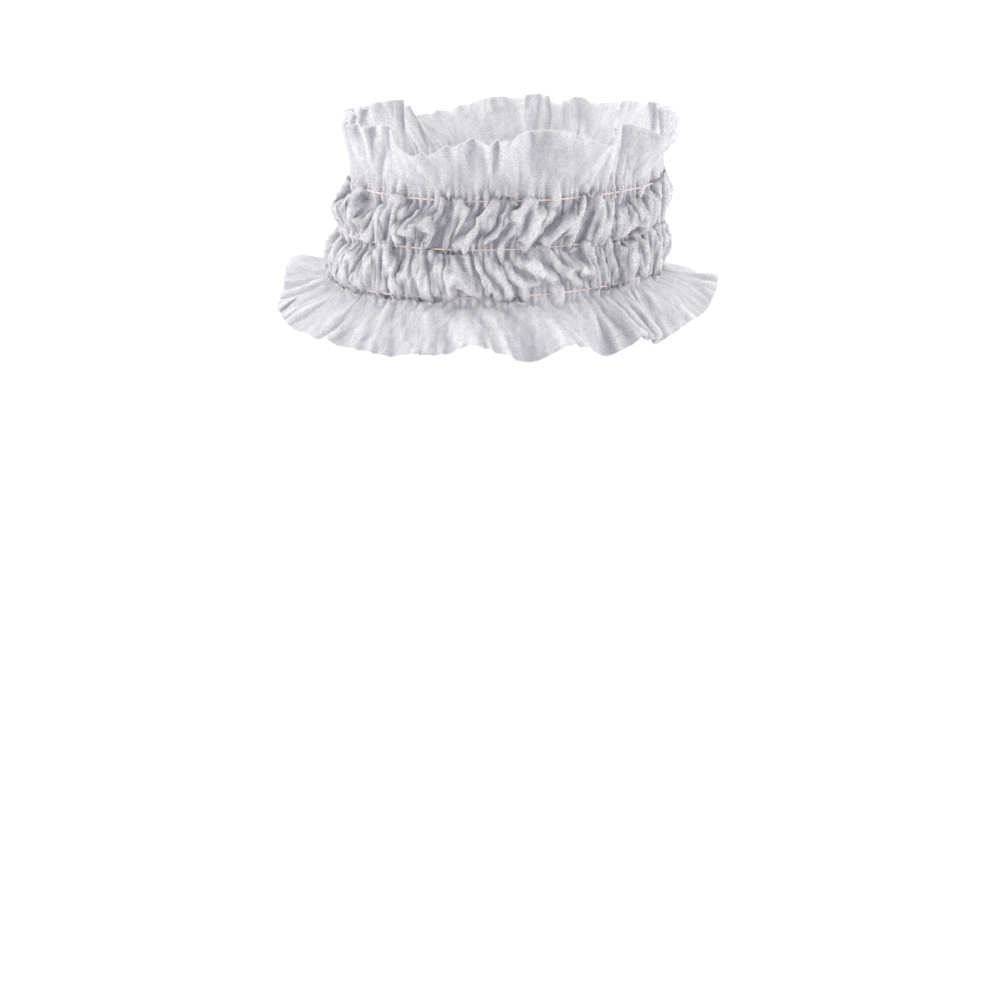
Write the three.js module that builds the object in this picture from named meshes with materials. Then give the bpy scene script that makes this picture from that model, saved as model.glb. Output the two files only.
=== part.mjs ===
// Disposable headband: one strip of white nonwoven cloth, joined into a ring and gathered
// on three elastic threads, so that it has a standing ruffle on top, two puffed rows in the
// middle and a wide flaring ruffle below. It is modelled as it sits when stretched over a head.
//
// Millimetres, +Z up. The origin is the middle of the head opening at the middle elastic.
// Angles run round the opening in degrees: 0 is the forehead (-Y), 90 the wearer's left (+X).
import * as THREE from "three";

// Head opening, along the gathered cloth's middle surface at the middle elastic
const HEAD_HALF_BREADTH = 77;
const HEAD_HALF_LENGTH = 91;
const FOREHEAD_SLOPE = 7; // how far the front of the opening moves back from one elastic to the next

// Cloth
const WALL = 1;
const LINE_PITCH = 24; // height from one elastic to the next
const PUFF_DEPTH = 7; // how far a puffed row swells out past its elastics
const PUFF_ROUNDNESS = 0.45; // the smaller, the fuller a puff's shoulders
const TOP_WIDTH = 35; // upper elastic to the upper cut edge
const BRIM_WIDTH = 38; // lower elastic to the lower cut edge
const TOP_ROOT_LEAN = 12; // degrees from upright of the upper ruffle where it leaves its elastic
const BRIM_ROOT_FALL = 40; // degrees below level of the lower ruffle where it leaves its elastic
const BRIM_FOLD_GROWTH = 1.5; // the larger, the nearer to the cut edge its folds set in

// Gathers
const RIB_COUNT = 40;
const RIB_SHAPE = [-0.5, 0.25, 0.5, 0.25]; // valley, flank, crest, flank, as shares of a rib's depth
const COLUMNS = RIB_COUNT * RIB_SHAPE.length;
const RIB_WANDER = 0.32; // of a rib's width, how unevenly the ribs are spaced
const RIB_SLANT = 0.9; // of a rib's width, how far ribs lean across a row at most
const RIB_FULLNESS = 0.8; // a middling rib's depth, as a share of its section's

// Waves round the ring that make the gathers uneven: how many, how strong, and where they start.
const SPACING_WAVES = [
  { turns: 3, strength: 1, start: 0 },
  { turns: 7, strength: 0.6, start: 57 },
];
const LEAN_WAVES = [
  { turns: 2, strength: 0.7, start: 34 },
  { turns: 5, strength: 0.6, start: 100 },
];
const FULLNESS_WAVES = [
  { turns: 15, strength: 0.2, start: 0 },
  { turns: 6, strength: 0.15, start: 57 },
];

// Elastic threads, which lie on the outer crests of the gathers
const ELASTIC_DIAMETER = 1.2;
const ELASTIC_GAP = 0.3;
const ELASTIC_STEPS = 60;
const ELASTIC_SIDES = 6;
const GATHER_DEPTH = 1.6; // valley to crest of the cloth at an elastic

// The folds of the lower ruffle. A crease at angle "at" hangs steeply, "steep" degrees below
// level, and the arch that follows it reaches out at "flat" degrees below level.
const BRIM_FOLDS = [
  { at: 14, steep: 38, flat: 42 },
  { at: 40, steep: 41, flat: 28 },
  { at: 65, steep: 57, flat: 34 },
  { at: 90, steep: 60, flat: 40 },
  { at: 108, steep: 56, flat: 38 },
  { at: 133, steep: 42, flat: 14 },
  { at: 160, steep: 40, flat: 16 },
  { at: 184, steep: 48, flat: 24 },
  { at: 208, steep: 44, flat: 20 },
  { at: 233, steep: 48, flat: 25 },
  { at: 258, steep: 45, flat: 18 },
  { at: 280, steep: 40, flat: 14 },
  { at: 298, steep: 18, flat: -8 },
  { at: 320, steep: 14, flat: 26 },
  { at: 338, steep: 34, flat: 32 },
];

// The folds of the upper ruffle. A crease at angle "at" stands "crease" degrees out from upright,
// and the arch that follows it leans out "arch" degrees.
const TOP_FOLDS = [
  { at: 14, crease: 4, arch: 41 },
  { at: 56, crease: 14, arch: 33 },
  { at: 69, crease: 16, arch: 37 },
  { at: 86, crease: 24, arch: 42 },
  { at: 100, crease: 18, arch: 44 },
  { at: 125, crease: 4, arch: 16 },
  { at: 151, crease: -6, arch: 6 },
  { at: 175, crease: 2, arch: 26 },
  { at: 197, crease: 18, arch: 40 },
  { at: 212, crease: 16, arch: 32 },
  { at: 228, crease: 2, arch: 28 },
  { at: 240, crease: 16, arch: 48 },
  { at: 281, crease: 4, arch: 16 },
  { at: 305, crease: -2, arch: 6 },
  { at: 331, crease: -4, arch: 10 },
];

// The sections that the cloth is lofted through, from the lower cut edge up. "across" is the
// share of the way over its row, away from an elastic on a ruffle and upwards on a puff.
// "ribs" is the depth of the gathers there, and "slant" how far they lean, as a share of RIB_SLANT.
const SECTIONS = [
  { row: "brim", across: 1, ribs: 0.3, slant: 0 },
  { row: "brim", across: 0.68, ribs: 0.9, slant: 0 },
  { row: "brim", across: 0.32, ribs: 2.2, slant: 0 },
  { row: "lower_line", across: 0, ribs: GATHER_DEPTH, slant: 0 },
  { row: "lower_puff", across: 0.2, ribs: 3.6, slant: 0.2 },
  { row: "lower_puff", across: 0.5, ribs: 5, slant: 0.5 },
  { row: "lower_puff", across: 0.8, ribs: 3.6, slant: 0.8 },
  { row: "middle_line", across: 0, ribs: GATHER_DEPTH, slant: 1 },
  { row: "upper_puff", across: 0.2, ribs: 3.6, slant: 0.8 },
  { row: "upper_puff", across: 0.5, ribs: 5, slant: 0.5 },
  { row: "upper_puff", across: 0.8, ribs: 3.6, slant: 0.2 },
  { row: "upper_line", across: 0, ribs: GATHER_DEPTH, slant: 0 },
  { row: "top", across: 0.27, ribs: 2.4, slant: 0 },
  { row: "top", across: 0.62, ribs: 1.2, slant: 0 },
  { row: "top", across: 1, ribs: 0.4, slant: 0 },
];
const LINE_HEIGHT = { lower_line: -LINE_PITCH, middle_line: 0, upper_line: LINE_PITCH };
const PUFF_FOOT = { lower_puff: -LINE_PITCH, upper_puff: 0 };

const TURN = 360;
const CLOTH_WHITE = 0xece9f0;
const ELASTIC_CREAM = 0xe6d9d2;

const { cos, sin, PI, floor, hypot, max, min } = Math;
const radians = (degrees) => (degrees * PI) / 180;
const mix = (from, to, share) => from + (to - from) * share;

// How far the front of the head opening lies from the origin, at height z.
const frontLength = (z) => HEAD_HALF_LENGTH - FOREHEAD_SLOPE * max(-1, min(1, z / LINE_PITCH));

// A point "out" from the head opening's oval, measured square to the oval, at height z.
function besideHead(angle, out, z) {
  const a = radians(angle);
  const halfLength = cos(a) > 0 ? frontLength(z) : HEAD_HALF_LENGTH;
  const across = halfLength * sin(a);
  const along = -HEAD_HALF_BREADTH * cos(a);
  const long = hypot(across, along);
  return new THREE.Vector3(
    HEAD_HALF_BREADTH * sin(a) + (out * across) / long,
    -halfLength * cos(a) + (out * along) / long,
    z,
  );
}

// The fold of a table that an angle lies in: its row, the next row, the share of the way
// between their creases, and the arch, which is 0 on a crease and 1 half way to the next.
function foldAt(folds, angle) {
  const within = ((angle % TURN) + TURN) % TURN;
  const turned = within < folds[0].at ? within + TURN : within;
  const index = folds.findLastIndex((fold) => fold.at <= turned);
  const next = folds[(index + 1) % folds.length];
  const end = next.at > folds[index].at ? next.at : next.at + TURN;
  const share = (turned - folds[index].at) / (end - folds[index].at);
  return { fold: folds[index], next, share, arch: sin(PI * share) };
}

// Degrees below level of the lower ruffle.
function brimFall(angle) {
  const { fold, next, share, arch } = foldAt(BRIM_FOLDS, angle);
  return mix(mix(fold.steep, next.steep, share), fold.flat, arch);
}

// Degrees from upright of the upper ruffle, outwards.
function topLean(angle) {
  const { fold, next, share, arch } = foldAt(TOP_FOLDS, angle);
  return mix(mix(fold.crease, next.crease, share), fold.arch, arch);
}

// Where a row's middle surface runs at an angle, before its gathers: out from the oval, and height.
function rowProfile({ row, across }, angle) {
  if (row in LINE_HEIGHT) return { out: 0, z: LINE_HEIGHT[row] };
  if (row in PUFF_FOOT) {
    const swell = PUFF_DEPTH * sin(PI * across) ** PUFF_ROUNDNESS;
    return { out: swell, z: PUFF_FOOT[row] + LINE_PITCH * across };
  }
  if (row === "brim") {
    const fall = radians(mix(BRIM_ROOT_FALL, brimFall(angle), across ** BRIM_FOLD_GROWTH));
    const reach = BRIM_WIDTH * across;
    return { out: reach * cos(fall), z: LINE_HEIGHT.lower_line - reach * sin(fall) };
  }
  const lean = radians(mix(TOP_ROOT_LEAN, topLean(angle), across));
  const rise = TOP_WIDTH * across;
  return { out: rise * sin(lean), z: LINE_HEIGHT.upper_line + rise * cos(lean) };
}

const waveSum = (waves, angle) =>
  waves.reduce((sum, wave) => sum + wave.strength * sin(radians(wave.turns * angle + wave.start)), 0);

// The angle at which a column of the grid runs. The columns follow the gathers, which are spaced
// a little unevenly and lean to and fro across the puffed rows.
function columnAngle(column, slant) {
  const even = (TURN * column) / COLUMNS;
  const wander = RIB_WANDER * waveSum(SPACING_WAVES, even);
  const lean = RIB_SLANT * slant * waveSum(LEAN_WAVES, even);
  return even + (TURN / RIB_COUNT) * (wander + lean);
}

// How far a column stands out on its gather. Some gathers are fuller than others.
function ribOut(column, depth) {
  const rib = floor(column / RIB_SHAPE.length);
  const fullness = RIB_FULLNESS + waveSum(FULLNESS_WAVES, (TURN * rib) / RIB_COUNT);
  return depth * fullness * RIB_SHAPE[column % RIB_SHAPE.length];
}

// The cloth's middle surface where a section crosses a column.
function clothPoint(section, column) {
  const angle = columnAngle(column, section.slant);
  const { out, z } = rowProfile(section, angle);
  return besideHead(angle, out + ribOut(column, section.ribs), z);
}

// A closed wall WALL thick, half of it on either side of a ring-shaped grid of points.
// grid[row][column] runs up the rows, and round the ring the way that angles grow.
function wallOfGrid(grid) {
  const rows = grid.length;
  const columns = grid[0].length;
  const at = (row, column) => grid[row][(column + columns) % columns];
  const outward = (row, column) => {
    const round = at(row, column + 1).clone().sub(at(row, column - 1));
    const up = at(min(row + 1, rows - 1), column).clone();
    up.sub(at(max(row - 1, 0), column));
    return round.cross(up).normalize();
  };
  const skin = (side) =>
    grid.flatMap((line, row) =>
      line.map((point, column) =>
        point.clone().addScaledVector(outward(row, column), (side * WALL) / 2),
      ),
    );
  const outer = (row, column) => row * columns + ((column + columns) % columns);
  const inner = (row, column) => rows * columns + outer(row, column);
  const faces = [];
  const quad = (a, b, c, d) => faces.push(a, b, c, a, c, d);
  for (let column = 0; column < columns; column++) {
    const next = column + 1;
    for (let row = 0; row < rows - 1; row++) {
      quad(outer(row, column), outer(row, next), outer(row + 1, next), outer(row + 1, column));
      quad(inner(row, column), inner(row + 1, column), inner(row + 1, next), inner(row, next));
    }
    const last = rows - 1;
    quad(outer(last, column), outer(last, next), inner(last, next), inner(last, column));
    quad(inner(0, column), inner(0, next), outer(0, next), outer(0, column));
  }
  const geometry = new THREE.BufferGeometry().setFromPoints([...skin(1), ...skin(-1)]);
  geometry.setIndex(faces);
  geometry.computeVertexNormals();
  return geometry;
}

function makeCloth() {
  const columns = Array.from({ length: COLUMNS }, (_, column) => column);
  const grid = SECTIONS.map((section) => columns.map((column) => clothPoint(section, column)));
  const cloth = new THREE.Mesh(
    wallOfGrid(grid),
    new THREE.MeshStandardMaterial({ color: CLOTH_WHITE, roughness: 0.9, metalness: 0 }),
  );
  cloth.name = "ruffled_sleeve";
  return cloth;
}

// How far out the elastics' centres lie, so that they clear the flanks of the puffs beside them,
// also at the forehead, where the puff below lies further out.
function elasticOut() {
  const flank = SECTIONS.find(({ row }) => row === "upper_puff");
  const crest = GATHER_DEPTH / 2;
  const swell = PUFF_DEPTH * sin(PI * flank.across) ** PUFF_ROUNDNESS;
  const run = swell + flank.ribs / 2 + FOREHEAD_SLOPE * flank.across - crest;
  const rise = LINE_PITCH * flank.across;
  const clear = WALL / 2 + ELASTIC_GAP + ELASTIC_DIAMETER / 2;
  return crest + (clear * hypot(run, rise)) / rise;
}

// A closed round thread about the opening, on the outer crests of the gathers.
function makeElastic(name, height) {
  const radius = ELASTIC_DIAMETER / 2;
  const out = elasticOut();
  const points = [];
  const faces = [];
  const index = (step, side) => (step % ELASTIC_STEPS) * ELASTIC_SIDES + (side % ELASTIC_SIDES);
  for (let step = 0; step < ELASTIC_STEPS; step++) {
    for (let side = 0; side < ELASTIC_SIDES; side++) {
      const a = (2 * PI * side) / ELASTIC_SIDES;
      const angle = (step * TURN) / ELASTIC_STEPS;
      points.push(besideHead(angle, out + radius * cos(a), height + radius * sin(a)));
      const [p, q] = [index(step, side), index(step + 1, side)];
      const [r, s] = [index(step + 1, side + 1), index(step, side + 1)];
      faces.push(p, q, r, p, r, s);
    }
  }
  const geometry = new THREE.BufferGeometry().setFromPoints(points).setIndex(faces);
  geometry.computeVertexNormals();
  const elastic = new THREE.Mesh(
    geometry,
    new THREE.MeshStandardMaterial({ color: ELASTIC_CREAM, roughness: 0.7, metalness: 0 }),
  );
  elastic.name = name;
  return elastic;
}

const headband = new THREE.Group();
headband.add(
  makeCloth(),
  makeElastic("elastic_upper", LINE_HEIGHT.upper_line),
  makeElastic("elastic_middle", LINE_HEIGHT.middle_line),
  makeElastic("elastic_lower", LINE_HEIGHT.lower_line),
);

export default headband;
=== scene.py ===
"""A disposable headband: a strip of nonwoven cloth, gathered on three elastic threads.

The cloth starts as a pleated ring and is settled by a small cloth solver, in metres and with fixed seeds.
Angles run round the head opening in degrees: 0 is the forehead (-Y), and 90 the wearer's left (+X).
"""
from collections import namedtuple

import bpy
import numpy as np
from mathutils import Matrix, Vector


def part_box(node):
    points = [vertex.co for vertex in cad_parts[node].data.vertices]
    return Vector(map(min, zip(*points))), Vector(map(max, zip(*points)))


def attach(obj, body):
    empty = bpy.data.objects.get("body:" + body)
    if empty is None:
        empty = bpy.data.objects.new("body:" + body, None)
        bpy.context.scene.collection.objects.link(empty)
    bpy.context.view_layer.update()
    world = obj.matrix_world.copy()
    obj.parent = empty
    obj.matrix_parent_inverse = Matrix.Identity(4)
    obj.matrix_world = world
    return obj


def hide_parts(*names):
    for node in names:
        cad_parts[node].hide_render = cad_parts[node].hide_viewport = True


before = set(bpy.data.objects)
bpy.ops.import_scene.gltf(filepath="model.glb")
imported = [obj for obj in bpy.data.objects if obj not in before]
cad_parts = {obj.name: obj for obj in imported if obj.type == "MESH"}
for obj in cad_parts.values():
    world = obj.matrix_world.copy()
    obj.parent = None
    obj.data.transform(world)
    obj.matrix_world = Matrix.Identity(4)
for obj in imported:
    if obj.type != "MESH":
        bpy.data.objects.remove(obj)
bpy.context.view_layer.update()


def by_part(brim, puffs, top):
    """A value for each part of the strip, from its lower cut edge up. The two puffed rows share one."""
    return {"brim": brim, "lower_puff": puffs, "upper_puff": puffs, "top": top}


# The strip of cloth as it is cut, in metres
STRIP_LENGTH = 0.87
ROW_WIDTH = by_part(brim=0.038, puffs=0.034, top=0.035)
STRIP_WIDTH = sum(ROW_WIDTH.values())
CLOTH_THICKNESS = 0.00035

# The grid that the cloth is made on
COLUMNS = 840
ROW_STEPS = by_part(brim=15, puffs=13, top=14)

# The head opening, along the middle of the gathered cloth at the middle elastic
HEAD_HALF_BREADTH = 0.077
HEAD_HALF_LENGTH = 0.091
FOREHEAD_SLOPE = 0.007  # how far the front of the opening moves back from one elastic to the next
OVAL_STEP = 0.5  # in degrees, for measuring along the opening

# Gathers: fine pleats at the elastics merge into folds, which on the ruffles lie over the main folds
SHAPE_SEED = 7
COLUMN_WANDER = 1.2  # in degrees
PLEATS = 120
PLEAT_WANDER = 0.22  # in pleats, the same at every elastic
LINE_WANDER = 0.12  # in pleats, at each elastic by itself
CROWDING_LIMITS = (0.4, 2.5)  # pleats are lower where they are crowded, within these
TALLEST_PLEAT = 0.02
PLEAT_REACH = by_part(brim=0.006, puffs=0.004, top=0.006)  # from an elastic, where the fine pleats fade
PLEATS_PER_FOLD = by_part(brim=8, puffs=4, top=5)
FOLD_HEIGHT = by_part(brim=1.6, puffs=1.3, top=1.6)  # beside a pleat's
HEIGHT_WANDER = 0.25
FOLD_LEAN = by_part(brim=0.6, puffs=0.4, top=0.7)  # how far folds lie over sideways
LEAN_MEAN = 0.5
LEAN_WANDER = 0.7
FOLD_STRAY = by_part(brim=0.4, puffs=1.4, top=0.6)  # in folds, for uneven panels
SLANT_WANDER = 0.4  # in folds over a row's width
LINE_SLIP = (6, -4, 2)  # the most degrees that the cloth has slipped round at each elastic, from below
SLIP_CENTRE = 65  # where it has slipped most, as at SLIP_WAVES places round the ring
SLIP_WAVES = 3
SLIP_WANDER = 0.8  # in degrees
LINE_FULLNESS = 1.04  # a row's length at an elastic, beside the strip's
RUFFLE_FULLNESS = {"brim": 1.06, "top": 1.1}  # length beside the main folds', past the pleats
HALVINGS = 24  # of the range of heights, to find the one that takes up a row's length
PUFF_DEPTH = 0.008
PUFF_ROUNDNESS = 0.8  # power of the sine that a puff swells with
TOP_ROOT_LEAN = 12  # in degrees out from upright, at the elastic
BRIM_ROOT_FALL = 40  # in degrees below level, at the elastic
FOLD_GROWTH = 0.6  # power of the share of a ruffle's width that its main folds grow with

# The elastics below and above each part, counted from below
PART_LINES = {"brim": (0, 0), "lower_puff": (0, 1), "upper_puff": (1, 2), "top": (2, 2)}

# Smooth random functions round the ring: waves in a turn, from the first number to just below the second
RIPPLE_TERMS = 8
BROAD_RIPPLES = (2, 9)
SLIP_RIPPLES = (2, 7)
STRAY_RIPPLES = (3, 10)
HEIGHT_RIPPLES = (8, 40)
PLEAT_RIPPLES = (12, 40)

# Elastic threads
ELASTICS = ("elastic_lower", "elastic_middle", "elastic_upper")
ELASTIC_RADIUS = 0.00045
STRAND_RADIUS = 0.00027
STRAND_SIDES = 6
STRANDS = 3
TWIST_PITCH = 0.0032
THREAD_DEPTH = 0.35  # share of the way out to the gathers' crests
THREAD_STEP = 0.25  # in degrees, for finding the angle nearest to a point

# The main folds of the ruffles: degrees below level for the lower one, and out from upright for the upper.
# A crease lies at "at", and the arch that follows it reaches further out.
Fold = namedtuple("Fold", "at crease arch")
BRIM_FOLDS = [
    Fold(14, 38, 42),
    Fold(40, 41, 28),
    Fold(65, 64, 34),
    Fold(90, 68, 40),
    Fold(108, 56, 38),
    Fold(133, 42, 14),
    Fold(160, 40, 16),
    Fold(184, 48, 24),
    Fold(208, 44, 20),
    Fold(233, 48, 25),
    Fold(258, 45, 18),
    Fold(280, 40, 14),
    Fold(298, 18, -8),
    Fold(320, 14, 26),
    Fold(338, 34, 32),
]
TOP_FOLDS = [
    Fold(14, -8, 42),
    Fold(42, 26, 24),
    Fold(70, -26, 30),
    Fold(103, -6, 44),
    Fold(125, 4, 16),
    Fold(151, -6, 6),
    Fold(175, 2, 26),
    Fold(197, 18, 40),
    Fold(212, 16, 32),
    Fold(228, 2, 28),
    Fold(240, 16, 48),
    Fold(281, 4, 16),
    Fold(305, -2, 6),
    Fold(331, -4, 10),
]

# The camera: where it stands round the headband, and the point below and left of the origin that it looks at
CAMERA_AZIMUTH = 55
CAMERA_ELEVATION = 10.5
CAMERA_DISTANCE = 1.0
CAMERA_LENS = 65.2
AIM_BELOW = 0.162
AIM_LEFT = 0.002


def line_height(node):
    low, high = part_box(node)
    return (low[2] + high[2]) / 2


LINE_Z = {node: line_height(node) for node in ELASTICS}


def each_step(values):
    """A value for each step between the grid's rows, from one for each part."""
    return np.repeat([values[part] for part in ROW_STEPS], list(ROW_STEPS.values()))


def each_row(values):
    """A value for each row of the grid as a column, from one for each part."""
    steps = each_step(values)
    return np.append(steps[0], steps)[:, None]


STEP_WIDTH = each_step({part: ROW_WIDTH[part] / steps for part, steps in ROW_STEPS.items()})
ROW_HEIGHT = np.concatenate([[0], np.cumsum(STEP_WIDTH)])  # up the flat strip from its lower edge


# Cloth: the shape that it starts from

def fold_angle(folds, angle):
    """Degrees of a ruffle round the ring: straight between creases, with an arch over each stretch."""
    at = np.array([fold.at for fold in folds] + [folds[0].at + 360])
    crease = np.array([fold.crease for fold in folds] + [folds[0].crease])
    arch = np.array([fold.arch for fold in folds])
    turned = np.where(angle % 360 < at[0], angle % 360 + 360, angle % 360)
    index = np.searchsorted(at, turned, side="right") - 1
    share = (turned - at[index]) / (at[index + 1] - at[index])
    straight = crease[index] + (crease[index + 1] - crease[index]) * share
    return straight + (arch[index] - straight) * np.sin(np.pi * share)


def ripple(angle, rng, waves):
    """A smooth random function round the ring, of spread 1, with a range of waves in a turn."""
    total = np.zeros_like(angle)
    for turns in rng.integers(*waves, RIPPLE_TERMS):
        total += np.sin(np.radians(turns * angle) + rng.uniform(0, 2 * np.pi))
    return total * np.sqrt(2 / RIPPLE_TERMS)


def head_oval(angle, z):
    """Points on the head opening's oval at height z, and the level directions square to it."""
    a = np.radians(angle)
    lower, _, upper = (LINE_Z[node] for node in ELASTICS)
    step = np.interp(z, [lower, upper], [-1, 1])
    half_length = HEAD_HALF_LENGTH - FOREHEAD_SLOPE * step * (np.cos(a) > 0)
    point = np.stack([HEAD_HALF_BREADTH * np.sin(a), -half_length * np.cos(a)], -1)
    square = np.stack([half_length * np.sin(a), -HEAD_HALF_BREADTH * np.cos(a)], -1)
    return point, square / np.linalg.norm(square, axis=-1, keepdims=True)


# away is the flat distance to the nearest elastic, and run how far across the part the row lies
Row = namedtuple("Row", "part out z away run")


def smooth_rows(lower_angle, upper_angle):
    """The grid's rows before they are gathered, from below, for angles at the lower and upper elastics."""
    level = np.zeros_like(lower_angle)
    fall = fold_angle(BRIM_FOLDS, lower_angle)
    lean = fold_angle(TOP_FOLDS, upper_angle)
    lower, middle, upper = (LINE_Z[node] for node in ELASTICS)
    rows = []
    for across in np.linspace(1, 0, ROW_STEPS["brim"], endpoint=False):
        slope = np.radians(BRIM_ROOT_FALL + (fall - BRIM_ROOT_FALL) * across**FOLD_GROWTH)
        reach = ROW_WIDTH["brim"] * across
        rows.append(Row("brim", reach * np.cos(slope), lower - reach * np.sin(slope), reach, across))
    rows.append(Row("line", level, lower + level, 0, 0))
    for part, foot, head in (("lower_puff", lower, middle), ("upper_puff", middle, upper)):
        for across in np.linspace(0, 1, ROW_STEPS[part] + 1)[1:-1]:
            swell = PUFF_DEPTH * np.sin(np.pi * across) ** PUFF_ROUNDNESS
            height = foot + (head - foot) * (1 - np.cos(np.pi * across)) / 2
            away = ROW_WIDTH[part] * min(across, 1 - across)
            rows.append(Row(part, swell + level, height + level, away, across - 0.5))
        rows.append(Row("line", level, head + level, 0, 0))
    for across in np.linspace(0, 1, ROW_STEPS["top"] + 1)[1:]:
        slope = np.radians(TOP_ROOT_LEAN + (lean - TOP_ROOT_LEAN) * across**FOLD_GROWTH)
        rise = ROW_WIDTH["top"] * across
        rows.append(Row("top", rise * np.sin(slope), upper + rise * np.cos(slope), rise, across))
    return rows


def pleat_share(row):
    """How much a row keeps of the fine pleats: 1 at an elastic, and less further from it."""
    if row.part == "line":
        return 1.0
    return np.exp(-((row.away / PLEAT_REACH[row.part]) ** 2))


def ring_length(line):
    return np.linalg.norm(np.roll(line, -1, axis=0) - line, axis=1).sum()


def evenly_spaced(line):
    """The same closed line, with its points at even steps along it."""
    closed = np.vstack([line, line[:1]])
    run = np.concatenate([[0], np.cumsum(np.linalg.norm(np.diff(closed, axis=0), axis=1))])
    wanted = np.arange(len(line)) * run[-1] / len(line)
    return np.column_stack([np.interp(wanted, run, closed[:, axis]) for axis in range(3)])


def even_angles(turn):
    """Angles at even steps of length along the head opening, for shares of a turn."""
    angle = np.arange(0, 360 + OVAL_STEP, OVAL_STEP)
    point, _ = head_oval(angle, 0 * angle)
    run = np.concatenate([[0], np.cumsum(np.linalg.norm(np.diff(point, axis=0), axis=1))])
    return np.interp(turn * run[-1], run, angle)


def pleat_waves(turn, angle, rng):
    """The fine pleats at each elastic: how many lie before each column, and their shape."""
    counts, shapes = [], []
    common = PLEATS * turn + PLEAT_WANDER * ripple(angle, rng, PLEAT_RIPPLES)
    for _ in ELASTICS:
        count = common + LINE_WANDER * ripple(angle, rng, PLEAT_RIPPLES)
        crowding = np.gradient(count) * COLUMNS / PLEATS
        counts.append(count)
        shapes.append(np.sin(2 * np.pi * count) / np.clip(crowding, *CROWDING_LIMITS))
    return counts, shapes


# How many folds lie before each column at the elastics below and above, and how they slant, rise and lie
Folds = namedtuple("Folds", "below above slant height lie")


def part_folds(angle, pleats, rng):
    """The folds that the pleats merge into, for each part."""
    folds = {}
    for part, group in PLEATS_PER_FOLD.items():
        stray = FOLD_STRAY[part] * ripple(angle, rng, STRAY_RIPPLES)
        below, above = (pleats[line] / group + stray for line in PART_LINES[part])
        slant = SLANT_WANDER * ripple(angle, rng, BROAD_RIPPLES)
        height = FOLD_HEIGHT[part] * (1 + HEIGHT_WANDER * ripple(angle, rng, HEIGHT_RIPPLES))
        lie = FOLD_LEAN[part] * (LEAN_MEAN + LEAN_WANDER * ripple(angle, rng, BROAD_RIPPLES))
        folds[part] = Folds(below, above, slant, height, lie)
    return folds


def zigzag(folds):
    """Flat panels between sharp ridges and hollows, from -1 to 1, a ridge for each whole fold."""
    return 4 * np.abs(folds % 1 - 0.5) - 1


def fold_wave(folds, run):
    """The heights of a part's folds on the row that lies run across it."""
    upper_share = np.clip(0.5 + run, 0, 1)
    phase = folds.below * (1 - upper_share) + folds.above * upper_share
    return folds.height * zigzag(phase - folds.slant * run)


def line_slips(angle, rng):
    """Degrees that the cloth has slipped round at each elastic."""
    share = (1 + np.cos(SLIP_WAVES * np.radians(angle - SLIP_CENTRE))) / 2
    return np.array([slip * share + SLIP_WANDER * ripple(angle, rng, SLIP_RIPPLES) for slip in LINE_SLIP])


def start_shape():
    """The gathered strip, rows by columns by xyz, the rows that the elastics hold, and each row's length."""
    rng = np.random.default_rng(SHAPE_SEED)
    turn = np.arange(COLUMNS) / COLUMNS
    angle = even_angles(turn) + COLUMN_WANDER * ripple(360 * turn, rng, BROAD_RIPPLES)
    pleats, fine = pleat_waves(turn, angle, rng)
    broad = part_folds(angle, pleats, rng)
    slips = line_slips(angle, rng)
    rows = smooth_rows(angle + slips[0], angle + slips[-1])
    out = np.array([row.out for row in rows])
    z = np.array([row.z for row in rows])
    near = np.array([pleat_share(row) for row in rows])[:, None]
    lines = [index for index, row in enumerate(rows) if row.part == "line"]
    line_share = np.array([np.interp(np.arange(len(rows)), lines, unit) for unit in np.eye(len(lines))])
    row_angle = angle + line_share.T @ slips

    # Gathers push square to the cloth, and level beside the elastics
    up_out = np.gradient(out, axis=0)
    up_z = np.gradient(z, axis=0)
    steep = np.hypot(up_out, up_z)
    push_out = near + (1 - near) * up_z / steep
    push_z = -(1 - near) * up_out / steep

    def gathered(index, push, lie):
        point, square = head_oval(row_angle[index], z[index])
        along = np.column_stack([-square[:, 1], square[:, 0]])
        outward = out[index] + push * push_out[index]
        level = point + square * outward[:, None] + along * (push * lie)[:, None]
        return np.column_stack([level, z[index] + push * push_z[index]])

    grid, lengths = [], []
    for index, row in enumerate(rows):
        if row.part == "line":
            shape = fine[lines.index(index)]
            lie = 0 * turn
            length = LINE_FULLNESS * STRIP_LENGTH
        else:
            folds = broad[row.part]
            pleat = fine[PART_LINES[row.part][int(row.run > 0)]]
            shape = near[index] * pleat + (1 - near[index]) * fold_wave(folds, row.run)
            lie = (1 - near[index]) * folds.lie
            length = STRIP_LENGTH
            if row.part in RUFFLE_FULLNESS:
                panels = RUFFLE_FULLNESS[row.part] * ring_length(gathered(index, 0 * turn, lie))
                length -= (1 - near[index, 0]) * max(0, STRIP_LENGTH - panels)
        lengths.append(length)
        least, most = 0.0, TALLEST_PLEAT
        for _ in range(HALVINGS):
            size = (least + most) / 2
            short = ring_length(gathered(index, size * shape, lie)) < length
            least, most = (size, most) if short else (least, size)
        grid.append(gathered(index, least * shape, lie))
    grid = np.array(grid)
    for index in lines:
        grid[index] = evenly_spaced(grid[index])
    return grid, lines, np.array(lengths)


# Cloth: settling

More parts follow.
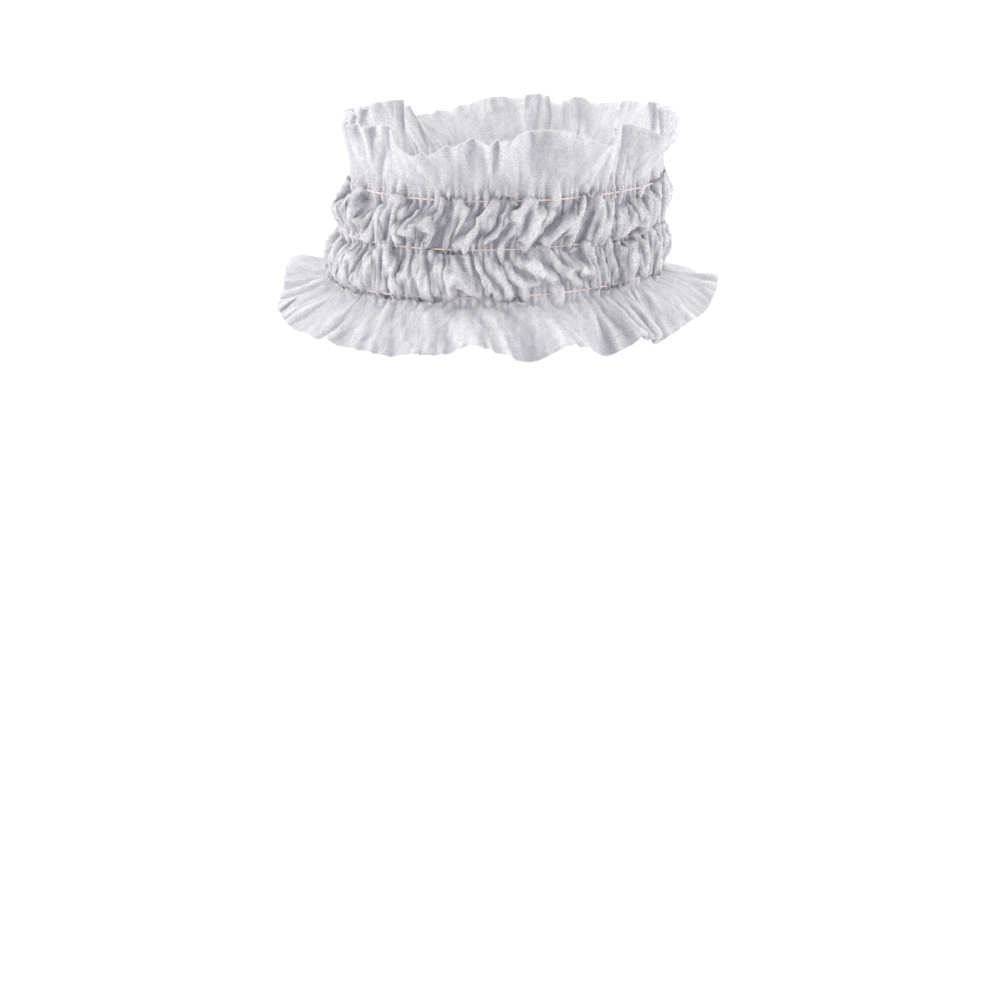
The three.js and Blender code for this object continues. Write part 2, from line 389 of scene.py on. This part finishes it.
SOLVER_STEPS = 300
PASSES_PER_STEP = 4
LINK_SHARE = 0.3  # of a thread's error that is put right at each end in one pass
SHEAR_SHARE = 0.15
BEND_SHARE = 0.005
SLOWING = 0.9  # share of a move that goes on in the next step
SINK_PER_STEP = 0.3e-6
CRUMPLE = by_part(brim=0.02, puffs=0.03, top=0.02)  # how uneven the threads' lengths are
CRUMPLE_BLUR = (1, 2)  # rows and columns
CRUMPLE_SEED = 3
TOUCH = 0.0016  # layers that are closer push apart
TOUCH_EVERY = 5  # steps
TOUCH_SHARE = 0.4  # of the missing distance that each layer moves
NEAR_ROWS = 2  # points this near each other on the strip don't count as two layers
NEAR_COLUMNS = 3
SMALLEST_GAP = 1e-6


def blur(values, rows, columns):
    """A running mean over a grid that closes on itself along its columns."""
    total = np.zeros_like(values)
    for shift in range(-columns, columns + 1):
        total += np.roll(values, shift, axis=1)
    values = total / (2 * columns + 1)
    padded = np.concatenate([values[:1].repeat(rows, 0), values, values[-1:].repeat(rows, 0)])
    return sum(padded[k : k + len(values)] for k in range(2 * rows + 1)) / (2 * rows + 1)


def close_pairs(points, reach):
    """Pairs of points in the same or neighbouring cells of a grid of cells that are reach wide."""
    cell = np.floor((points - points.min(0)) / reach).astype(np.int64) + 1
    span = cell.max(0) + 2
    key = (cell[:, 2] * span[1] + cell[:, 1]) * span[0] + cell[:, 0]
    order = np.argsort(key, kind="stable")
    ranked = key[order]
    first, second = [], []
    for dz, dy, dx in np.ndindex(2, 3, 3):
        step = (dz * span[1] + dy - 1) * span[0] + dx - 1
        if step < 0:
            continue
        low = np.searchsorted(ranked, key + step, "left")
        count = np.searchsorted(ranked, key + step, "right") - low
        one = np.repeat(np.arange(len(key)), count)
        begin = np.repeat(low - np.cumsum(count) + count, count)
        two = order[begin + np.arange(len(one))]
        keep = one < two if step == 0 else slice(None)
        first.append(one[keep])
        second.append(two[keep])
    return np.concatenate(first), np.concatenate(second)


def push_apart(grid, reach):
    """Moves layers of the cloth that have come closer than reach away from each other, in place."""
    columns = grid.shape[1]
    points = grid.reshape(-1, 3)
    a, b = close_pairs(points, reach)
    gap = points[b] - points[a]
    distance = np.linalg.norm(gap, axis=1)
    rows_apart = np.abs(a // columns - b // columns)
    columns_apart = np.abs(a % columns - b % columns)
    columns_apart = np.minimum(columns_apart, columns - columns_apart)
    touch = (distance < reach) & ((rows_apart > NEAR_ROWS) | (columns_apart > NEAR_COLUMNS))
    a, b, gap, distance = a[touch], b[touch], gap[touch], distance[touch]
    push = gap * (TOUCH_SHARE * (reach - distance) / np.maximum(distance, SMALLEST_GAP))[:, None]
    np.add.at(points, a, -push)
    np.add.at(points, b, push)


def relax_links(grid, links):
    """One pass over the cloth's threads: each is drawn towards its own length."""
    rows = len(grid)
    for down, along, rest, share in links:
        gap = np.roll(grid[down:], -along, axis=1) - grid[: rows - down]
        length = np.sqrt((gap * gap).sum(-1))
        fix = (share * (length - rest) / length)[..., None] * gap
        grid[: rows - down] += fix
        grid[down:] -= np.roll(fix, along, axis=1)


def relax_bends(grid):
    """Each point and its neighbours move towards one straight line, along the rows and across them."""
    curl = (np.roll(grid, 1, axis=1) + np.roll(grid, -1, axis=1)) / 2 - grid
    grid += BEND_SHARE * (curl - (np.roll(curl, 1, axis=1) + np.roll(curl, -1, axis=1)) / 2)
    curl = (grid[:-2] + grid[2:]) / 2 - grid[1:-1]
    grid[1:-1] += BEND_SHARE * curl
    grid[:-2] -= BEND_SHARE * curl / 2
    grid[2:] -= BEND_SHARE * curl / 2


def settle(grid, lines, lengths, steps):
    """Lets the cloth find its shape: threads keep their length, it resists bending, and layers push apart."""
    rng = np.random.default_rng(CRUMPLE_SEED)
    rows, columns, _ = grid.shape
    along = lengths[:, None] / columns
    across = STEP_WIDTH[:, None]
    slant = np.hypot(along[1:], across)
    crumple = blur(rng.standard_normal((rows, columns)), *CRUMPLE_BLUR)
    crumple = 1 + each_row(CRUMPLE) * crumple / crumple.std()
    links = [
        (0, 1, along * crumple, LINK_SHARE),
        (1, 0, across * crumple[1:], LINK_SHARE),
        (1, 1, slant * crumple[1:], SHEAR_SHARE),
        (1, -1, slant * crumple[1:], SHEAR_SHARE),
    ]
    held = grid[lines].copy()
    grid = grid.copy()
    before = grid.copy()
    for step in range(steps):
        drift = SLOWING * (grid - before)
        before = grid.copy()
        grid += drift
        grid[..., 2] -= SINK_PER_STEP
        for _ in range(PASSES_PER_STEP):
            relax_links(grid, links)
            grid[lines] = held
        relax_bends(grid)
        if step % TOUCH_EVERY == TOUCH_EVERY - 1:
            push_apart(grid, TOUCH)
        grid[lines] = held
    return grid


# Cloth: panels and creases

STIFFENING_ROUNDS = 12
STIFFNESS = by_part(brim=1.0, puffs=0.4, top=1.0)
CREASE_SLOPE = 0.4  # difference between two normals past which a fold stays sharp
CREASE_SETS = 6
CREASE_WAVES = (40, 90)  # in a turn, from the first number to just below the second
CREASE_SLANT = 0.5
CREASE_BLUR = (3, 10)  # rows and columns
CREASE_WANDER = 0.5
CREASE_HEIGHT = by_part(brim=0.0002, puffs=0.0004, top=0.0002)
CREASE_BASE_BLUR = (1, 2)  # for the cloth that the creases stand on
CREASE_SEED = 11
RIDGE_BLUR = (1, 6)  # for the smoothed cloth that ridges stand out from
RIDGE_HEIGHT = 0.0012  # above the smoothed cloth, where the painted light on ridges is palest
PAINTED_HOLLOW_SHADE = by_part(brim=0.85, puffs=1.0, top=0.6)  # how far the painted shade darkens the hollows

# As rows and columns away: the panels round a panel, and the panels that meet at a point
PANELS_ROUND = [(0, 1), (0, -1), (1, 0), (-1, 0), (0, 2), (0, -2), (1, 1), (1, -1), (-1, 1), (-1, -1)]
PANELS_AT_POINT = [(0, 0), (0, -1), (-1, 0), (-1, -1)]


def grid_normals(grid):
    round_it = np.roll(grid, -1, axis=1) - np.roll(grid, 1, axis=1)
    up = np.gradient(grid, axis=0)
    normal = np.cross(round_it, up)
    return normal / np.linalg.norm(normal, axis=-1, keepdims=True)


def shifted(values, rows, columns):
    """The same grid seen from rows and columns away, with its first and last rows repeated."""
    index = np.clip(np.arange(len(values)) + rows, 0, len(values) - 1)
    return np.roll(values[index], -columns, axis=1)


def small_panels(grid):
    """The centre of each panel between four points, and its normal, evened out with those of like panels."""
    beside = np.roll(grid, -1, axis=1)
    centre = (grid[:-1] + grid[1:] + beside[:-1] + beside[1:]) / 4
    normal = np.cross(beside[1:] - grid[:-1], grid[1:] - beside[:-1])
    normal /= np.linalg.norm(normal, axis=-1, keepdims=True)
    total = normal.copy()
    for rows, columns in PANELS_ROUND:
        other = shifted(normal, rows, columns)
        alike = np.exp(-((normal - other) ** 2).sum(-1, keepdims=True) / CREASE_SLOPE**2)
        total += alike * other
    return centre, total / np.linalg.norm(total, axis=-1, keepdims=True)


def stiffen(grid, lines):
    """Flattens the cloth into small panels with sharp folds between them, as stiff paper-like cloth bends."""
    held = grid[lines].copy()
    grid = grid.copy()
    share = each_row(STIFFNESS) / len(PANELS_AT_POINT)
    for _ in range(STIFFENING_ROUNDS):
        centre, normal = small_panels(grid)
        move = np.zeros_like(grid)
        for rows, columns in PANELS_AT_POINT:
            index = np.clip(np.arange(len(grid)) + rows, 0, len(grid) - 2)
            facing = np.roll(normal[index], -columns, axis=1)
            gap = np.roll(centre[index], -columns, axis=1) - grid
            move += facing * (facing * gap).sum(-1, keepdims=True)
        grid += share[..., None] * move
        grid[lines] = held
    return grid


def creases():
    """Papery creases over the flat strip, in metres: sets of wandering sharp ridges with round hollows."""
    rng = np.random.default_rng(CREASE_SEED)
    turn = np.arange(COLUMNS)[None] / COLUMNS
    height = ROW_HEIGHT[:, None]
    total = np.zeros((len(ROW_HEIGHT), COLUMNS))
    for _ in range(CREASE_SETS):
        waves = rng.integers(*CREASE_WAVES)
        slope = rng.normal(0, CREASE_SLANT)
        wander = blur(rng.standard_normal(total.shape), *CREASE_BLUR)
        phase = waves * (turn + slope * height / STRIP_LENGTH) + CREASE_WANDER * wander / wander.std()
        total -= np.abs(np.sin(np.pi * phase))
    return each_row(CREASE_HEIGHT) * (total - total.mean()) / total.std()


# Cloth: the piece

def shell_mesh(name, grid, thickness):
    """A closed sheet about a ring-shaped grid, with the flat strip as its UV map, in metres."""
    rows, columns, _ = grid.shape
    normal = grid_normals(grid)
    skins = np.stack([grid + normal * thickness / 2, grid - normal * thickness / 2])
    index = np.arange(2 * rows * columns).reshape(2, rows, columns)
    outer, inner = index
    beside = np.roll(index, -1, axis=2)
    faces = [
        np.stack([outer[:-1], beside[0, :-1], beside[0, 1:], outer[1:]], -1).reshape(-1, 4),
        np.stack([inner[:-1], inner[1:], beside[1, 1:], beside[1, :-1]], -1).reshape(-1, 4),
        np.stack([outer[-1], beside[0, -1], beside[1, -1], inner[-1]], -1),
        np.stack([inner[0], beside[1, 0], beside[0, 0], outer[0]], -1),
    ]
    faces = np.concatenate(faces)
    mesh = bpy.data.meshes.new(name)
    mesh.from_pydata(skins.reshape(-1, 3).tolist(), [], faces.tolist())
    column = faces % columns
    last = (column.max(1) == columns - 1) & (column.min(1) == 0)
    column = np.where(last[:, None] & (column == 0), columns, column)
    row = faces // columns % rows
    uv = np.stack([column * STRIP_LENGTH / columns, ROW_HEIGHT[row]], -1)
    mesh.uv_layers.new(name="flat").data.foreach_set("uv", uv.reshape(-1))
    mesh.shade_smooth()
    return mesh


def add_attribute(mesh, name, values):
    """A number for each point of the grid, on both skins of the sheet."""
    both = np.concatenate([values.reshape(-1)] * 2)
    mesh.attributes.new(name, "FLOAT", "POINT").data.foreach_set("value", both)


def add_piece(mesh):
    piece = bpy.data.objects.new(mesh.name, mesh)
    bpy.context.scene.collection.objects.link(piece)
    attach(piece, "root")
    return piece


def make_cloth():
    """The cloth, and the rows of its points that lie at the elastics."""
    grid, lines, lengths = start_shape()
    grid = stiffen(settle(grid, lines, lengths, SOLVER_STEPS), lines)
    held_lines = grid[lines]
    grid += creases()[..., None] * grid_normals(blur(grid, *CREASE_BASE_BLUR))
    mesh = shell_mesh("ruffled_cloth", grid, CLOTH_THICKNESS)
    # Painted shade: hollows below the smoothed cloth get a darker colour and ridges a paler one, in place of
    # shade and light in the folds
    smooth = blur(grid, *RIDGE_BLUR)
    painted_ridge_shade = ((grid - smooth) * grid_normals(smooth)).sum(-1)
    painted_ridge_shade = 1 - each_row(PAINTED_HOLLOW_SHADE) * (1 - np.clip(painted_ridge_shade / RIDGE_HEIGHT, -1, 1))
    add_attribute(mesh, "painted_ridge_shade", painted_ridge_shade)
    edge = np.minimum(ROW_HEIGHT, STRIP_WIDTH - ROW_HEIGHT)[:, None]
    add_attribute(mesh, "edge", np.repeat(edge, COLUMNS, axis=1))
    mesh.materials.append(nonwoven())
    cloth = add_piece(mesh)
    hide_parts("ruffled_sleeve")
    return cloth, held_lines


# Elastic threads

def thread_path(line):
    """Where a taut thread lies among the gathers of a row."""
    height = line[:, 2].mean()
    guess = np.arange(0, 360, THREAD_STEP)
    oval, _ = head_oval(guess, height)
    angle = guess[np.linalg.norm(line[:, None, :2] - oval[None], axis=2).argmin(1)]
    point, square = head_oval(angle, height)
    out = ((line[:, :2] - point) * square).sum(-1)
    order = np.argsort(angle, kind="stable")
    steps = np.arange(COLUMNS) * 360 / COLUMNS
    crest = np.interp(steps, angle[order], out[order], period=360)
    window = COLUMNS // PLEATS
    crest = np.max([np.roll(crest, k) for k in range(-window, window + 1)], axis=0)
    crest = np.mean([np.roll(crest, k) for k in range(-window, window + 1)], axis=0)
    point, square = head_oval(steps, height)
    level = point + square * (crest * THREAD_DEPTH)[:, None]
    return np.column_stack([level, np.full(COLUMNS, height)])


def make_elastic(node, line):
    """A thread of twisted strands round the headband."""
    path = thread_path(line)
    twists = round(ring_length(path) / TWIST_PITCH)
    tangent = np.roll(path, -1, axis=0) - np.roll(path, 1, axis=0)
    tangent /= np.linalg.norm(tangent, axis=1, keepdims=True)
    up = np.array([0.0, 0.0, 1.0])
    level = np.cross(tangent, up)
    points, faces = [], []
    turn = 2 * np.pi * np.arange(COLUMNS) * twists / COLUMNS
    step = np.arange(COLUMNS)
    beside = np.roll(step, -1)
    for strand in range(STRANDS):
        a = (turn + 2 * np.pi * strand / STRANDS)[:, None]
        core = path + (ELASTIC_RADIUS - STRAND_RADIUS) * (np.cos(a) * level + np.sin(a) * up)
        first = strand * COLUMNS * STRAND_SIDES
        for side in range(STRAND_SIDES):
            b = 2 * np.pi * side / STRAND_SIDES
            points.append(core + STRAND_RADIUS * (np.cos(b) * level + np.sin(b) * up))
            here = first + side * COLUMNS
            there = first + (side + 1) % STRAND_SIDES * COLUMNS
            faces.append(np.stack([here + step, here + beside, there + beside, there + step], -1))
    mesh = bpy.data.meshes.new(node + "_thread")
    mesh.from_pydata(np.concatenate(points).tolist(), [], np.concatenate(faces).tolist())
    mesh.shade_smooth()
    mesh.materials.append(elastic_yarn())
    thread = add_piece(mesh)
    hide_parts(node)
    return thread


# Shader nodes

def new_material(name):
    material = bpy.data.materials.new(name)
    material.use_nodes = True
    material.node_tree.nodes.clear()
    return material, material.node_tree


def add_node(tree, kind, inputs=None, **settings):
    """A shader node. An input is a socket to link or a plain value."""
    node = tree.nodes.new(kind)
    for key, value in settings.items():
        setattr(node, key, value)
    for key, value in (inputs or {}).items():
        if isinstance(value, bpy.types.NodeSocket):
            tree.links.new(value, node.inputs[key])
        else:
            node.inputs[key].default_value = value
    return node


def math_node(tree, operation, a, b=0.0):
    return add_node(tree, "ShaderNodeMath", {0: a, 1: b}, operation=operation).outputs[0]


def vector_node(tree, operation, a, b):
    return add_node(tree, "ShaderNodeVectorMath", {0: a, 1: b}, operation=operation).outputs[0]


def ramp(tree, value, start, end, first, last):
    """A number that goes from first to last as value goes from start to end."""
    inputs = {0: value, 1: start, 2: end, 3: first, 4: last}
    return add_node(tree, "ShaderNodeMapRange", inputs).outputs[0]


def flat_noise(tree, **inputs):
    """Noise over the flat strip."""
    return add_node(tree, "ShaderNodeTexNoise", inputs, noise_dimensions="2D")


def bump(tree, **inputs):
    return add_node(tree, "ShaderNodeBump", inputs).outputs[0]


def attribute(tree, name):
    return add_node(tree, "ShaderNodeAttribute", attribute_name=name).outputs["Fac"]


def mix_shaders(tree, share, first, second):
    return add_node(tree, "ShaderNodeMixShader", {0: share, 1: first, 2: second}).outputs[0]


def colour_between(tree, share, low, high):
    inputs = {"Factor": share, "A": (*low, 1), "B": (*high, 1)}
    node = add_node(tree, "ShaderNodeMix", data_type="RGBA")
    for key, value in inputs.items():
        sockets = [s for s in node.inputs if s.name == key and s.enabled]
        if isinstance(value, bpy.types.NodeSocket):
            tree.links.new(value, sockets[0])
        else:
            sockets[0].default_value = value
    return next(s for s in node.outputs if s.enabled)


# Materials

# The cloth's colour runs between these two: its own cloudy tone, painted shade in the hollows, and painted
# light on ridges and cut edges
DARK_TONE_AND_PAINTED_SHADE = (0.40, 0.395, 0.455)
PALE_TONE_AND_PAINTED_LIGHT = (0.99, 0.98, 0.995)
PAINTED_SHADE_SHARE = 0.8  # the share of the colour that the painted shade in hollows and painted light on ridges set
CLOUD_PALENESS = 0.2  # the share that the cloudy fibres set
CUT_EDGE_HIGHLIGHT_WIDTH = 0.0016  # of the painted highlight along the cut edges
FIBRE_STRETCH = (0.45, 1, 0)  # fibres lie mostly along the strip
CLOUD_SCALE = 1200
CLOUD_RANGE = (0.3, 0.7)
FIBRE_SCALE = 2600
FIBRE_RELIEF = 0.5  # beside the clouds'
FACETS = ((90, 0.0022), (210, 0.0009))  # how many lie along a metre, and their height in metres
BOND_PITCH = 0.0026
BOND_RANGE = (0.6, 0.95)  # of a wave's height, from a dot's rim to its middle
BOND_RELIEF = 0.25
BOND_GAP = 0.12  # how much more shows through a dot
WIDEST_GAPS = 0.32  # how much shows through the thinnest cloth
FINEST_GAPS = 0.08  # and through the thickest
LIGHT_THROUGH = 0.45  # the share of the cloth's light that comes from behind it
YARN_COLOURS = (0.72, 0.60, 0.55), (0.90, 0.82, 0.78)
YARN_SCALE = 1800
FLOOR_COLOURS = (0.90, 0.90, 0.905), (0.93, 0.93, 0.935)
FLOOR_SCALE = 3


def facets(tree, flat, scale, height):
    """Heights in metres of small facets with sharp folds between them, longer up the strip than along it."""
    shift = flat_noise(tree, Vector=flat, Scale=scale, Detail=1).outputs["Color"]
    wander = vector_node(tree, "SUBTRACT", shift, (0.5, 0.5, 0))
    stretched = vector_node(tree, "MULTIPLY", flat, (scale, scale / 2, 0))
    inputs = {"Vector": vector_node(tree, "ADD", stretched, wander), "Scale": 1}
    settings = {"feature": "DISTANCE_TO_EDGE", "voronoi_dimensions": "2D"}
    cells = add_node(tree, "ShaderNodeTexVoronoi", inputs, **settings)
    return math_node(tree, "MULTIPLY", cells.outputs["Distance"], height)


def bonded_dots(tree, flat):
    """The small points in a diamond grid where the fibres are pressed together: 1 in a dot, and 0 outside."""
    turns = 2 * np.pi / BOND_PITCH
    place = vector_node(tree, "MULTIPLY", flat, (turns, turns, 0))
    parts = add_node(tree, "ShaderNodeSeparateXYZ", {0: place}).outputs
    along = math_node(tree, "COSINE", parts["X"])
    up = math_node(tree, "COSINE", parts["Y"])
    return ramp(tree, math_node(tree, "MULTIPLY", along, up), *BOND_RANGE, 0.0, 1.0)


def nonwoven():
    """White spunbond cloth: cloudy fibres, bonded dots, painted shade in hollows with painted light on ridges
    and cut edges, and light that comes through it.
    """
    material, tree = new_material("nonwoven_cloth")
    flat = add_node(tree, "ShaderNodeUVMap", uv_map="flat").outputs[0]
    laid = vector_node(tree, "MULTIPLY", flat, FIBRE_STRETCH)
    clouds = flat_noise(tree, Vector=laid, Scale=CLOUD_SCALE, Detail=3, Roughness=0.7).outputs[0]
    fibres = flat_noise(tree, Vector=laid, Scale=FIBRE_SCALE, Detail=2, Distortion=1.5).outputs[0]
    dots = bonded_dots(tree, flat)

    mottle = ramp(tree, clouds, *CLOUD_RANGE, 0.0, 1.0)
    # Painted shade and light from the folds: darker in hollows, paler on ridges
    rise = ramp(tree, attribute(tree, "painted_ridge_shade"), -1.0, 1.0, 0.0, 1.0)
    # Painted highlight: a pale rim along the cut edges, where they would catch the light
    painted_edge_highlight = ramp(tree, attribute(tree, "edge"), 0.0, CUT_EDGE_HIGHLIGHT_WIDTH, 1.0, 0.0)
    cloudy = math_node(tree, "MULTIPLY", mottle, CLOUD_PALENESS)
    painted_fold_light = math_node(tree, "MULTIPLY", rise, PAINTED_SHADE_SHARE)
    tone_and_painted_light = math_node(tree, "MAXIMUM", math_node(tree, "ADD", cloudy, painted_fold_light), painted_edge_highlight)
    colour = colour_between(tree, tone_and_painted_light, DARK_TONE_AND_PAINTED_SHADE, PALE_TONE_AND_PAINTED_LIGHT)

    crumpled = math_node(tree, "ADD", *(facets(tree, flat, *size) for size in FACETS))
    relief = math_node(tree, "ADD", clouds, math_node(tree, "MULTIPLY", fibres, FIBRE_RELIEF))
    relief = math_node(tree, "SUBTRACT", relief, math_node(tree, "MULTIPLY", dots, BOND_RELIEF))
    bend = bump(tree, Height=crumpled, Strength=1.0, Distance=1.0)
    normal = bump(tree, Height=relief, Strength=0.5, Distance=0.0012, Normal=bend)

    surface = add_node(tree, "ShaderNodeBsdfPrincipled", {
        "Base Color": colour,
        "Normal": normal,
        "Roughness": 0.85,
        "Specular IOR Level": 0.25,
        "Sheen Weight": 0.5,
        "Sheen Roughness": 0.4,
    }).outputs[0]
    behind = add_node(tree, "ShaderNodeBsdfTranslucent", {"Color": colour, "Normal": normal}).outputs[0]
    clear = add_node(tree, "ShaderNodeBsdfTransparent").outputs[0]
    gaps = ramp(tree, mottle, 0.0, 1.0, WIDEST_GAPS, FINEST_GAPS)
    gaps = math_node(tree, "ADD", gaps, math_node(tree, "MULTIPLY", dots, BOND_GAP))
    sheer = mix_shaders(tree, gaps, mix_shaders(tree, LIGHT_THROUGH, surface, behind), clear)
    add_node(tree, "ShaderNodeOutputMaterial", {"Surface": sheer})
    material.use_transparent_shadow = False
    return material


def elastic_yarn():
    """Pale cream covered elastic, with fine fibres."""
    material = bpy.data.materials.get("elastic_thread_yarn")
    if material:
        return material
    material, tree = new_material("elastic_thread_yarn")
    place = add_node(tree, "ShaderNodeTexCoord").outputs["Object"]
    inputs = {"Vector": place, "Scale": YARN_SCALE, "Detail": 3}
    fibres = add_node(tree, "ShaderNodeTexNoise", inputs).outputs[0]
    colour = colour_between(tree, fibres, *YARN_COLOURS)
    normal = bump(tree, Height=fibres, Strength=0.4, Distance=0.0002)
    inputs = {"Base Color": colour, "Normal": normal, "Roughness": 0.7}
    surface = add_node(tree, "ShaderNodeBsdfPrincipled", inputs).outputs[0]
    add_node(tree, "ShaderNodeOutputMaterial", {"Surface": surface})
    return material


def paper_floor():
    """A pale matt floor, very slightly mottled."""
    material, tree = new_material("studio_floor")
    place = add_node(tree, "ShaderNodeTexCoord").outputs["Object"]
    clouds = add_node(tree, "ShaderNodeTexNoise", {"Vector": place, "Scale": FLOOR_SCALE}).outputs[0]
    colour = colour_between(tree, clouds, *FLOOR_COLOURS)
    inputs = {"Base Color": colour, "Roughness": 0.9, "Specular IOR Level": 0.1}
    surface = add_node(tree, "ShaderNodeBsdfPrincipled", inputs).outputs[0]
    add_node(tree, "ShaderNodeOutputMaterial", {"Surface": surface})
    return material


# Studio

FLOOR_BELOW = 0.36
FLOOR_HALF_SIZE = 40
SKY_LIGHT = 0.35
SKY_SEEN = 1.0  # the white backdrop past the floor
LAMP_SPREAD = 40  # in degrees, for soft shadows

# Lamps, with the direction that each shines from as the camera sees it
Lamp = namedtuple("Lamp", "name right toward up strength")
LAMPS = [
    Lamp("overhead", 0.0, 0.1, 1.0, 1.3),
    Lamp("back", 0.0, -1.0, 0.45, 2.8),
    Lamp("left", -1.0, 0.1, 0.3, 3.0),
    Lamp("right", 1.0, 0.0, 0.3, 2.4),
]


def view_axes():
    """Level directions from the headband: towards the camera, and to the camera's right."""
    a = np.radians(CAMERA_AZIMUTH)
    return Vector((np.sin(a), -np.cos(a), 0)), Vector((np.cos(a), np.sin(a), 0))


def look_at(obj, place, target):
    obj.location = place
    obj.rotation_euler = (target - place).to_track_quat("-Z", "Y").to_euler()
    bpy.context.scene.collection.objects.link(obj)


def make_camera():
    toward, right = view_axes()
    rise = np.radians(CAMERA_ELEVATION)
    place = CAMERA_DISTANCE * (toward * np.cos(rise) + Vector((0, 0, np.sin(rise))))
    lens = bpy.data.cameras.new("camera")
    lens.lens = CAMERA_LENS
    camera = bpy.data.objects.new("camera", lens)
    look_at(camera, place, Vector((0, 0, -AIM_BELOW)) - AIM_LEFT * right)
    bpy.context.scene.camera = camera


def make_lights():
    toward, right = view_axes()
    for lamp in LAMPS:
        light = bpy.data.lights.new(lamp.name, "SUN")
        light.angle = np.radians(LAMP_SPREAD)
        light.energy = lamp.strength
        place = right * lamp.right + toward * lamp.toward + Vector((0, 0, lamp.up))
        look_at(bpy.data.objects.new(lamp.name, light), place, Vector((0, 0, 0)))


def make_sky():
    """White all round, and dimmer as a light than it looks."""
    world = bpy.data.worlds.new("studio")
    world.use_nodes = True
    tree = world.node_tree
    tree.nodes.clear()
    lit, seen = (
        add_node(tree, "ShaderNodeBackground", {"Color": (1, 1, 1, 1), "Strength": strength}).outputs[0]
        for strength in (SKY_LIGHT, SKY_SEEN)
    )
    direct = add_node(tree, "ShaderNodeLightPath").outputs["Is Camera Ray"]
    add_node(tree, "ShaderNodeOutputWorld", {"Surface": mix_shaders(tree, direct, lit, seen)})
    bpy.context.scene.world = world


def make_floor():
    s = FLOOR_HALF_SIZE
    mesh = bpy.data.meshes.new("studio_floor")
    mesh.from_pydata([(-s, -s, 0), (s, -s, 0), (s, s, 0), (-s, s, 0)], [], [(0, 1, 2, 3)])
    mesh.materials.append(paper_floor())
    floor = bpy.data.objects.new("studio_floor", mesh)
    floor.location.z = -FLOOR_BELOW
    bpy.context.scene.collection.objects.link(floor)


make_camera()
make_lights()
make_sky()
make_floor()
cloth, held_lines = make_cloth()
threads = [make_elastic(node, line) for node, line in zip(ELASTICS, held_lines)]
bpy.context.scene.view_settings.view_transform = "Standard"
